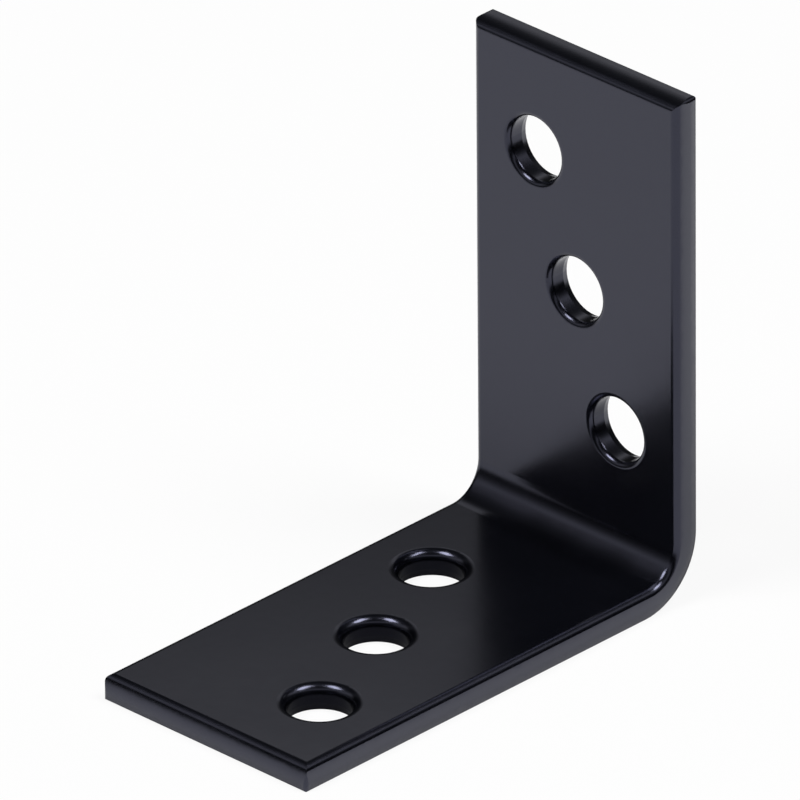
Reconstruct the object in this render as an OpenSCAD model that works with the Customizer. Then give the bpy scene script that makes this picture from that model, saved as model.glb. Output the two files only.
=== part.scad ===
// Angle bracket: one strip of sheet steel, blanked, pierced and folded once through a right angle.
// One leg lies flat on Z = 0, the other stands up at the +Y end. The origin is under the middle of
// the bounding box. The inner face is the one inside the angle, the outer face is its back.

/* [Sheet] */
// Thickness of the sheet
sheet_t = 2; // [1.5:0.1:2.5]
// Width of the strip
strip_w = 20; // [18:0.5:40]

/* [Legs] */
// Length of the flat leg, from its tip to the outer face of the upright leg
base_len = 40; // [38:0.5:80]
// Height of the upright leg, from the underside of the flat leg to its top end
upright_len = 40; // [38:0.5:80]

/* [Fold] */
// Radius of the fold on the inner face
fold_r = 2.55; // [1.5:0.05:3.5]
// Thickness that the sheet loses in the middle of the fold, where its back is stretched
fold_thinning = 0.3; // [0:0.05:0.35]

/* [Screw holes] */
// Diameter of the screw holes in the flat leg, inside their coat
base_hole_d = 4.7; // [3:0.05:6]
// Diameter of the screw holes in the upright leg, inside their coat
upright_hole_d = 5; // [3:0.05:6]
// Holes in each leg
hole_count = 3; // [1:1:3]
// Distance along a leg from one hole to the next
hole_pitch = 9.85; // [8:0.05:10]
// Distance across a leg from one hole to the next
hole_step = 4; // [0:0.1:5]
// Distance from the tip of the flat leg to its nearest hole
base_hole_end = 7.6; // [5:0.1:9]
// Distance from the top of the upright leg to its nearest hole
upright_hole_end = 8.5; // [5:0.1:9]

/* [Pierced rims] */
// Radius of the lip round each hole of the flat leg, on the inner face, where the punch went in
base_lip_r = 0.75; // [0.1:0.05:0.8]
// Radius of the same lip in the upright leg
upright_lip_r = 0.45; // [0.1:0.05:0.8]
// Growth in radius on the outer face, where the slug broke out
breakout_w = 0.2; // [0.05:0.05:0.3]
// Depth of the broken zone
breakout_d = 0.6; // [0.3:0.05:0.65]

/* [Blanked edges] */
// Height over the outer face up to which a cut edge is square to it
bow_start = 0.55; // [0.5:0.05:0.8]
// Radius of the bow in which the two long edges lean back above that
side_bow_r = 8; // [4:0.5:20]
// Radius of the same bow at the two ends, where it is tighter
end_bow_r = 3.2; // [2.5:0.1:10]
// Radius of the rolled edge on the inner face
roll_r = 0.6; // [0.3:0.05:0.65]
// Radius left on the edges of the outer face
edge_r = 0.1; // [0.05:0.05:0.15]
// Radius of the blank's four corners
corner_r = 0.3; // [0.05:0.05:0.5]

/* [Hidden] */
$fn = 96;
// How far each cutter reaches past the metal that it cuts
past = 1;
// Radius of the fold on the outer face. Without thinning the two radii would share one centre.
fold_outer_r = fold_r + sheet_t + fold_thinning / (sqrt(2) - 1);
// Height of the inner face over the start of the bow
bow_rise = sheet_t - bow_start;
// How far the rolled edge stands out of the bow where they meet, so that they cross at an edge
roll_proud = 0.01;
// Tip of the flat leg, and outer face of the upright leg
tip_y = -base_len / 2;
heel_y = base_len / 2;
// Middle of a row of holes, counted in holes
row_middle = (hole_count - 1) / 2;

// A right angle with a rounded corner: the quarter plane of X and Y above gap from both axes
module inside_of_angle(gap, r, reach) {
    translate([gap + r, gap]) square([reach, reach]);
    translate([gap, gap + r]) square([reach, reach]);
    translate([gap + r, gap + r]) circle(r = r);
}

// The sheet edge on: X inwards from the outer face of the upright leg, Y up from the underside
module folded_profile() {
    difference() {
        intersection() {
            square([base_len, upright_len]);
            inside_of_angle(0, fold_outer_r, base_len + upright_len);
        }
        inside_of_angle(sheet_t, fold_r, base_len + upright_len);
    }
}

// What a square corner at the origin loses to a radius r, with the metal towards -X and +Y
module corner_loss(r) {
    difference() {
        translate([-r, -past]) square(r + past);
        translate([-r, r]) circle(r = r);
    }
}

// What a cut edge loses towards the inner face, in section. Y = 0 is that face, with the metal
// towards -X and -Y, and the square part of the edge on the Y axis.
module inner_edge_loss(bow_r) {
    translate([0, -bow_rise]) difference() {
        translate([-past, 0]) square([2 * past, bow_rise + past]);
        translate([-bow_r, 0]) circle(r = bow_r);
    }
    lean = asin((bow_rise - roll_r) / (bow_r - roll_r));
    reach = roll_r + past;
    translate([(bow_r - roll_r) * cos(lean) - bow_r + roll_proud, -roll_r]) difference() {
        polygon([
            [0, 0],
            [reach * cos(lean), reach * sin(lean)],
            [reach * cos(lean), reach],
            [0, reach]
        ]);
        circle(r = roll_r);
    }
}

// Runs a section along the whole strip and round its fold. The section's X lies across the strip,
// its Y inwards from a line at depth from the outer face, and the line turns with radius r.
module along_strip(depth, r) {
    turn = depth + r;
    translate([0, heel_y - turn, depth]) rotate([90, 0, 0])
        linear_extrude(base_len - turn + past) children();
    translate([0, heel_y - turn, turn]) rotate([0, 90, 0]) rotate_extrude(angle = 90)
        rotate(90) translate([0, -r]) children();
    translate([0, heel_y - depth, turn]) rotate([0, 0, 180]) mirror([1, 0, 0])
        linear_extrude(upright_len - turn + past) children();
}

// What the two long edges of the strip lose, all along it
module side_loss() {
    for (side = [0, 1]) mirror([side, 0, 0]) {
        along_strip(sheet_t, fold_r) translate([strip_w / 2, 0])
            inner_edge_loss(side_bow_r);
        along_strip(0, fold_outer_r) translate([strip_w / 2, 0]) corner_loss(edge_r);
    }
}

// Runs a section across the whole strip, at the end of a leg: the section's X is measured towards
// the end, its Y inwards from the outer face
module across_end() {
    translate([-strip_w / 2 - past, 0, 0]) rotate([90, 0, 90]) mirror([1, 0, 0])
        linear_extrude(strip_w + 2 * past) children();
}

// What the free end of a leg loses
module end_loss() {
    across_end() translate([0, sheet_t]) inner_edge_loss(end_bow_r);
    across_end() corner_loss(edge_r);
    for (side = [0, 1]) mirror([side, 0, 0])
        translate([strip_w / 2, 0, -past]) linear_extrude(sheet_t + 2 * past) corner_loss(corner_r);
}

// What one hole takes out of a leg, around Z
module hole_loss(hole_r, lip_r) {
    rotate_extrude() {
        translate([0, -past]) square([hole_r, sheet_t + 2 * past]);
        // Lip on the inner face
        translate([hole_r, sheet_t - lip_r]) difference() {
            square([lip_r, lip_r + past]);
            translate([lip_r, 0]) circle(r = lip_r);
        }
        // Broken zone, widest on the outer face
        polygon([
            [0, -past],
            [hole_r + breakout_w, -past],
            [hole_r + breakout_w, 0],
            [hole_r, breakout_d],
            [0, breakout_d]
        ]);
    }
}

// What a leg loses at its end and to its slanting row of holes. The end is at Y = 0 with the leg
// towards +Y and its outer face on Z = 0. The first hole is end_gap from the end.
module leg_loss(end_gap, hole_r, lip_r) {
    end_loss();
    for (i = [0 : hole_count - 1])
        translate([(row_middle - i) * hole_step, end_gap + i * hole_pitch, 0])
            hole_loss(hole_r, lip_r);
}

// The upright leg is a flat leg turned end for end, so both rows slant alike along the strip
module bracket() {
    color([0.13, 0.13, 0.15]) difference() {
        translate([-strip_w / 2, heel_y, 0]) rotate([90, 0, 90]) mirror([1, 0, 0])
            linear_extrude(strip_w) folded_profile();
        side_loss();
        translate([0, tip_y, 0]) leg_loss(base_hole_end, base_hole_d / 2, base_lip_r);
        translate([0, heel_y, upright_len]) rotate([-90, 0, 180])
            leg_loss(upright_hole_end, upright_hole_d / 2, upright_lip_r);
    }
}

bracket();
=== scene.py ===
"""Angle bracket in black powder coat, lit and seen as in the photograph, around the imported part."""
import bpy
import math
from mathutils import Matrix, Vector

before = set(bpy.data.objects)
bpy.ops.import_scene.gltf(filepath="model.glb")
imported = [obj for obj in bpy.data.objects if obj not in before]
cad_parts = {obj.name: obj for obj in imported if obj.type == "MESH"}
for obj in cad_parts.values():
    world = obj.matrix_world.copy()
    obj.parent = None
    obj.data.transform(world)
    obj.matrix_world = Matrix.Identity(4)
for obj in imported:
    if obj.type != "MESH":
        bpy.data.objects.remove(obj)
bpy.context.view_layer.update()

# Lengths are in metres
MM = 0.001

# The photograph's camera.
CAM_AZIMUTH = 43.96
CAM_ELEVATION = 28.25
CAM_ROLL = math.radians(-0.335)
CAM_DISTANCE = 1695 * MM
CAM_CLIP = (0.01, 100)
SENSOR_MM = 36.0
FRAME_PX = 800
# Scale of the photograph at the anchor
PIXELS_PER_MM = 14.093
# The anchor: the point that the camera was fitted round, and where it shows in the photograph
ANCHOR = Vector((0, 6.667, 13.333)) * MM
ANCHOR_PX = (465.08, 448.73)

# The part: the outer face of its upright leg, and the outer radius of its fold
HEEL_Y = 20 * MM
FOLD_OUTER_R = 5.274 * MM
# The holes are nearer to the middle than this, and the crowned edges are farther out
RIM_X = 8.5 * MM
RIM_TIP_Y = -17 * MM

# Tilt of the two long edges, and of the flat leg's tip, towards the outer face: a slope, by depth
# from that face
SIDE_TILT = ((0.2 * MM, 0.32), (0.4 * MM, 0.25), (0.6 * MM, 0.176), (1.2 * MM, 0.165),
             (1.4 * MM, 0.12), (1.55 * MM, 0))
TIP_TILT = ((0.2 * MM, 0.23), (0.5 * MM, 0.158), (0.7 * MM, 0.117), (1.0 * MM, 0.07),
            (1.2 * MM, 0.047), (1.7 * MM, 0))
# The depth is a little uneven: the size of its waves, and what noise from 0 to 1 adds to it
UNEVEN_SIZE = 0.8 * MM
UNEVEN_SHIFT = 0.5 * MM

# The powder coat: its orange peel, and a finer grain with its share of the same height
PEEL_SIZE = 0.9 * MM
PEEL_HEIGHT = 0.003 * MM
GRAIN_SIZE = 0.16 * MM
GRAIN_SHARE = 0.08
# Its colour and its roughness change slowly from place to place, each between two values. The
# roughness does so within a span of the noise, and the colour over all of it.
CLOUD_SIZE = 6 * MM
CLOUD_SPAN = (0.3, 0.7)
COAT_ROUGHNESS = (0.19, 0.23)
COAT_COLOUR = ((0.0007, 0.0009, 0.0016), (0.0010, 0.0012, 0.0020))
COAT_IOR = 1.68
GLOSS_TINT = (0.70, 0.72, 1.0, 1)

FLOOR_SIZE = 8
# The floor lies this far under the bracket
FLOOR_GAP = 0.02 * MM
FLOOR_COLOUR = (0.9, 0.9, 0.9, 1)
# Share of the floor that is shown at full white, to the camera and to mirror rays
FLOOR_GLOW_CAMERA = 0.9
FLOOR_GLOW_GLOSSY = 0.3
# Painted shade: in the bracket's gloss the floor darkens along the horizon, as the view goes from one
# slant to the other (1 is edge on), and it loses a share of its light inside the screw holes; both
# are black mixed into the floor for mirror rays
HORIZON_SHADE = (0.75, 0.97)
HOLE_SHADE = 0.85

# The softboxes: radiance, distance, size as angles seen from the bracket, and place in degrees
BOX_RADIANCE = 11.0
BOX_DISTANCE = 1.2
BOX_WIDTH = math.radians(20)
BOX_HEIGHT = math.radians(26)
BOX_ELEVATION = 60
BOX_LEFT = -25
BOX_RIGHT = 120

# A reflecting screen stands round the bracket, seen in its gloss alone: its radius, its height, and
# its radiance by elevation in degrees, to the front left and on the other sides
SCREEN_R = 220 * MM
SCREEN_TOP = 240 * MM
SCREEN_PANELS = 96
SCREEN_FRONT = ((0, 0.04), (7, 0.06), (13, 0.12), (18, 0.23), (24, 0.46), (29, 0.66), (33, 0.50),
                (39, 0.18), (46, 0.08), (48, 0.06))
SCREEN_BACK = ((0, 0.02), (15, 0.02), (20, 0.03), (23, 0.06), (26, 0.12), (28.3, 0.20), (31, 0.40),
               (33, 0.64), (36, 0.76), (39, 0.40), (43, 0.16), (48, 0.06))
# Azimuth of its front light and of the dark gap beside it, the cosine of the angle from there at
# which each begins and the one at which it is whole, and the share of light that the gap takes
FRONT_AZIMUTH = -45
FRONT_REACH = (0.78, 0.97)
GAP_AZIMUTH = -90
GAP_REACH = (0.75, 0.97)
GAP_LOSS = 0.85
# Light that has been mirrored once is polarised, so one leg's image in the other is fainter than
# the shader alone makes it, by this share
TWICE_LOSS = 0.5

# The dim studio beyond the screen
ROOM_COLOUR = (0.04, 0.04, 0.04, 1)

WHITE = (1, 1, 1, 1)
BLACK = (0, 0, 0, 1)


def direction(azimuth, elevation):
    a, e = math.radians(azimuth), math.radians(elevation)
    return Vector((math.sin(a) * math.cos(e), -math.cos(a) * math.cos(e), math.sin(e)))


def camera():
    back = direction(CAM_AZIMUTH, CAM_ELEVATION)
    level = direction(CAM_AZIMUTH + 90, 0)
    rise = back.cross(level)
    right = math.cos(CAM_ROLL) * level + math.sin(CAM_ROLL) * rise
    up = math.cos(CAM_ROLL) * rise - math.sin(CAM_ROLL) * level
    across = (ANCHOR_PX[0] - FRAME_PX / 2) / PIXELS_PER_MM * MM
    down = (ANCHOR_PX[1] - FRAME_PX / 2) / PIXELS_PER_MM * MM
    place = ANCHOR + CAM_DISTANCE * back
    aim = ANCHOR - across * right + down * up
    z = (place - aim).normalized()
    x = (right - right.dot(z) * z).normalized()
    y = z.cross(x)
    data = bpy.data.cameras.new("camera")
    data.sensor_width = SENSOR_MM
    data.lens = PIXELS_PER_MM * (CAM_DISTANCE / MM) / FRAME_PX * SENSOR_MM
    data.clip_start, data.clip_end = CAM_CLIP
    cam = bpy.data.objects.new("camera", data)
    cam.matrix_world = Matrix.Translation(place) @ Matrix((x, y, z)).transposed().to_4x4()
    bpy.context.scene.collection.objects.link(cam)
    bpy.context.scene.camera = cam


class Graph:
    """A node tree being written: each call adds one node and links what it is given"""

    def __init__(self, tree):
        self.tree = tree
        tree.nodes.clear()

    def add(self, kind, inputs=None, **settings):
        node = self.tree.nodes.new(kind)
        for name, value in settings.items():
            setattr(node, name, value)
        for key, value in (inputs or {}).items():
            if isinstance(value, bpy.types.NodeSocket):
                self.tree.links.new(value, node.inputs[key])
            else:
                node.inputs[key].default_value = value
        return node

    def math(self, operation, *values):
        node = self.add("ShaderNodeMath", dict(enumerate(values)), operation=operation)
        return node.outputs[0]

    def times(self, a, b):
        return self.math("MULTIPLY", a, b)

    def lessened(self, value, share, loss):
        """value without a part of it: loss where share is 1, and none where it is 0"""
        return self.times(value, self.math("SUBTRACT", 1.0, self.times(share, loss)))

    def between(self, value, low, high, out_low=0.0, out_high=1.0, smooth=True):
        """value mapped from low..high to out_low..out_high, held at both ends"""
        node = self.add("ShaderNodeMapRange", {
            "Value": value, "From Min": low, "From Max": high, "To Min": out_low,
            "To Max": out_high}, interpolation_type="SMOOTHSTEP" if smooth else "LINEAR")
        return node.outputs["Result"]

    def noise(self, vector, size, detail=2.0, roughness=0.5):
        """Noise around 0.5, with features about as large as size, in metres"""
        node = self.add("ShaderNodeTexNoise", {
            "Vector": vector, "Scale": 1 / size, "Detail": detail, "Roughness": roughness})
        return node.outputs["Fac"]

    def ramp(self, value, stops):
        """A curve through stops of (value, result), held at both ends"""
        low, high = stops[0][0], stops[-1][0]
        along = self.between(value, low, high, smooth=False)
        node = self.add("ShaderNodeValToRGB", {"Fac": along})
        elements = node.color_ramp.elements
        while len(elements) < len(stops):
            elements.new(0.5)
        for element, (at, level) in zip(elements, stops):
            element.position = (at - low) / (high - low)
            element.color = (level, level, level, 1)
        return node.outputs["Color"]

    def vector(self, operation, *values):
        node = self.add("ShaderNodeVectorMath", dict(enumerate(values)), operation=operation)
        return node.outputs["Value" if operation in ("DOT_PRODUCT", "LENGTH") else "Vector"]

    def scaled(self, vector, factor):
        node = self.add("ShaderNodeVectorMath", {0: vector, "Scale": factor}, operation="SCALE")
        return node.outputs[0]

    def axes(self, vector):
        return self.add("ShaderNodeSeparateXYZ", {0: vector}).outputs

    def tint(self, factor, a, b):
        node = self.add("ShaderNodeMix", data_type="RGBA")
        self.tree.links.new(factor, node.inputs["Factor"])
        node.inputs["A"].default_value = (*a, 1)
        node.inputs["B"].default_value = (*b, 1)
        return node.outputs["Result"]

    def mixed(self, share, first, second):
        """The first shader, with the second in its place by share"""
        return self.add("ShaderNodeMixShader", {
            "Fac": share, 1: first.outputs[0], 2: second.outputs[0]})


def material(name):
    m = bpy.data.materials.new(name)
    m.use_nodes = True
    return m, Graph(m.node_tree)


def floor():
    """A plain white floor, with painted shade along the horizon and inside the holes in the bracket's
    gloss
    """
    bpy.ops.mesh.primitive_plane_add(size=FLOOR_SIZE, location=(0, 0, -FLOOR_GAP))
    plane = bpy.context.object
    plane.name = "floor"
    m, g = material("floor_white_painted_shade")
    path = g.add("ShaderNodeLightPath").outputs
    mirrored = path["Is Glossy Ray"]
    seen = g.math("MAXIMUM", path["Is Camera Ray"], path["Is Transmission Ray"])
    share = g.math("MAXIMUM", g.times(seen, FLOOR_GLOW_CAMERA),
                   g.times(mirrored, FLOOR_GLOW_GLOSSY))
    card = g.add("ShaderNodeBsdfDiffuse", {"Color": FLOOR_COLOUR})
    glow = g.add("ShaderNodeEmission", {"Color": WHITE, "Strength": 1})
    white = g.mixed(share, card, glow)

    # Painted shade: for mirror rays black is mixed into the floor towards edge on and over the
    # bracket's footprint, which shows in the screw holes
    facing = g.add("ShaderNodeLayerWeight", {"Blend": 0.5}).outputs["Facing"]
    place = g.axes(g.add("ShaderNodeTexCoord").outputs["Object"])
    hole_shade_mask = g.times(g.math("LESS_THAN", g.math("ABSOLUTE", place["X"]), RIM_X),
                    g.math("LESS_THAN", g.math("ABSOLUTE", place["Y"]), HEEL_Y))
    dark = g.math("MAXIMUM", g.between(facing, *HORIZON_SHADE), g.times(hole_shade_mask, HOLE_SHADE))
    black = g.add("ShaderNodeBsdfDiffuse", {"Color": BLACK})
    mix = g.mixed(g.times(dark, mirrored), white, black)
    g.add("ShaderNodeOutputMaterial", {"Surface": mix.outputs[0]})
    plane.data.materials.append(m)


def softbox(name, azimuth):
    data = bpy.data.lights.new(name, "AREA")
    data.shape = "RECTANGLE"
    data.size = 2 * BOX_DISTANCE * math.tan(BOX_WIDTH / 2)
    data.size_y = 2 * BOX_DISTANCE * math.tan(BOX_HEIGHT / 2)
    data.energy = BOX_RADIANCE * math.pi * data.size * data.size_y
    lamp = bpy.data.objects.new(name, data)
    back = direction(azimuth, BOX_ELEVATION)
    lamp.location = back * BOX_DISTANCE
    lamp.rotation_euler = back.to_track_quat("Z", "Y").to_euler()
    lamp.visible_camera = False
    bpy.context.scene.collection.objects.link(lamp)


def screen():
    """The reflecting screen, with a band of light round it"""
    bpy.ops.mesh.primitive_cylinder_add(
        vertices=SCREEN_PANELS, radius=SCREEN_R, depth=SCREEN_TOP, end_fill_type="NOTHING",
        location=(0, 0, SCREEN_TOP / 2))
    wall = bpy.context.object
    wall.name = "screen"
    m, g = material("screen_light")
    place = g.add("ShaderNodeTexCoord").outputs["Object"]
    height = g.math("ADD", g.axes(place)["Z"], SCREEN_TOP / 2)
    elevation = g.math("DEGREES", g.math("ARCTAN2", height, SCREEN_R))

    def towards(azimuth, reach):
        cosine = g.vector("DOT_PRODUCT", place, tuple(direction(azimuth, 0) / SCREEN_R))
        return g.between(cosine, *reach)

    front = towards(FRONT_AZIMUTH, FRONT_REACH)
    gap = towards(GAP_AZIMUTH, GAP_REACH)
    back = g.lessened(g.math("SUBTRACT", 1.0, front), gap, GAP_LOSS)
    level = g.math("ADD", g.times(g.ramp(elevation, SCREEN_FRONT), front),
                   g.times(g.ramp(elevation, SCREEN_BACK), back))
    mirrorings = g.add("ShaderNodeLightPath").outputs["Glossy Depth"]
    twice = g.math("GREATER_THAN", mirrorings, 1.5)
    glow = g.add("ShaderNodeEmission", {
        "Color": WHITE, "Strength": g.lessened(level, twice, TWICE_LOSS)})
    g.add("ShaderNodeOutputMaterial", {"Surface": glow.outputs[0]})
    wall.data.materials.append(m)
    wall.visible_camera = wall.visible_transmission = False
    wall.visible_diffuse = wall.visible_shadow = False


def room():
    """A dim studio beyond the screen, and plain white to the camera"""
    w = bpy.data.worlds.new("studio")
    bpy.context.scene.world = w
    w.use_nodes = True
    g = Graph(w.node_tree)
    path = g.add("ShaderNodeLightPath").outputs
    seen = g.math("MAXIMUM", path["Is Camera Ray"], path["Is Transmission Ray"])
    dim = g.add("ShaderNodeBackground", {"Color": ROOM_COLOUR, "Strength": 1})
    white = g.add("ShaderNodeBackground", {"Color": WHITE, "Strength": 1})
    g.add("ShaderNodeOutputWorld", {"Surface": g.mixed(seen, dim, white).outputs[0]})


def crowned(g, place):
    """The surface normal, with the crown that shearing left on the long edges and on the flat
    leg's tip. The tilt is towards the outer face, by depth from it."""
    axis = g.axes(place)
    # Depth: straight in from a leg's outer face, and in the fold towards the axis of its outside
    past_y = g.math("MAXIMUM", g.math("SUBTRACT", axis["Y"], HEEL_Y - FOLD_OUTER_R), 0.0)
    under_z = g.math("MAXIMUM", g.math("SUBTRACT", FOLD_OUTER_R, axis["Z"]), 0.0)
    radial = g.add("ShaderNodeCombineXYZ", {"Y": past_y, "Z": g.times(under_z, -1.0)}).outputs[0]
    wander = g.math("SUBTRACT", g.noise(place, UNEVEN_SIZE, roughness=0.6), 0.5)
    depth = g.math("SUBTRACT", g.math("ADD", g.times(wander, UNEVEN_SHIFT), FOLD_OUTER_R),
                   g.vector("LENGTH", radial))
    outward = g.add("ShaderNodeVectorTransform", {"Vector": g.vector("NORMALIZE", radial)},
                    vector_type="VECTOR", convert_from="OBJECT", convert_to="WORLD").outputs[0]

    normal = g.add("ShaderNodeNewGeometry").outputs["Normal"]
    facing = g.axes(normal)
    side = g.times(g.math("POWER", g.math("ABSOLUTE", facing["X"]), 2.0),
                   g.math("GREATER_THAN", g.math("ABSOLUTE", axis["X"]), RIM_X))
    tip = g.times(g.math("POWER", g.math("ABSOLUTE", facing["Y"]), 2.0),
                  g.math("LESS_THAN", axis["Y"], RIM_TIP_Y))
    tilt = g.math("ADD", g.times(g.ramp(depth, SIDE_TILT), side),
                  g.times(g.ramp(depth, TIP_TILT), tip))
    return g.vector("NORMALIZE", g.vector("ADD", normal, g.scaled(outward, tilt)))


def powder_coat():
    m, g = material("powder_coat_black")
    place = g.add("ShaderNodeTexCoord").outputs["Object"]
    grain = g.times(g.noise(place, GRAIN_SIZE), GRAIN_SHARE)
    bump = g.add("ShaderNodeBump", {
        "Height": g.math("ADD", g.noise(place, PEEL_SIZE), grain), "Distance": PEEL_HEIGHT,
        "Strength": 1.0, "Normal": crowned(g, place)})
    cloud = g.noise(place, CLOUD_SIZE, detail=3.0, roughness=0.6)
    coat = g.add("ShaderNodeBsdfPrincipled", {
        "Base Color": g.tint(cloud, *COAT_COLOUR), "IOR": COAT_IOR, "Specular Tint": GLOSS_TINT,
        "Roughness": g.between(cloud, *CLOUD_SPAN, *COAT_ROUGHNESS),
        "Normal": bump.outputs["Normal"]})
    g.add("ShaderNodeOutputMaterial", {"Surface": coat.outputs[0]})
    return m


camera()
floor()
screen()
room()
softbox("softbox_left", BOX_LEFT)
softbox("softbox_right", BOX_RIGHT)

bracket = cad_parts["bracket"]
bracket.data.materials.clear()
bracket.data.materials.append(powder_coat())

bpy.context.scene.view_settings.view_transform = "Standard"
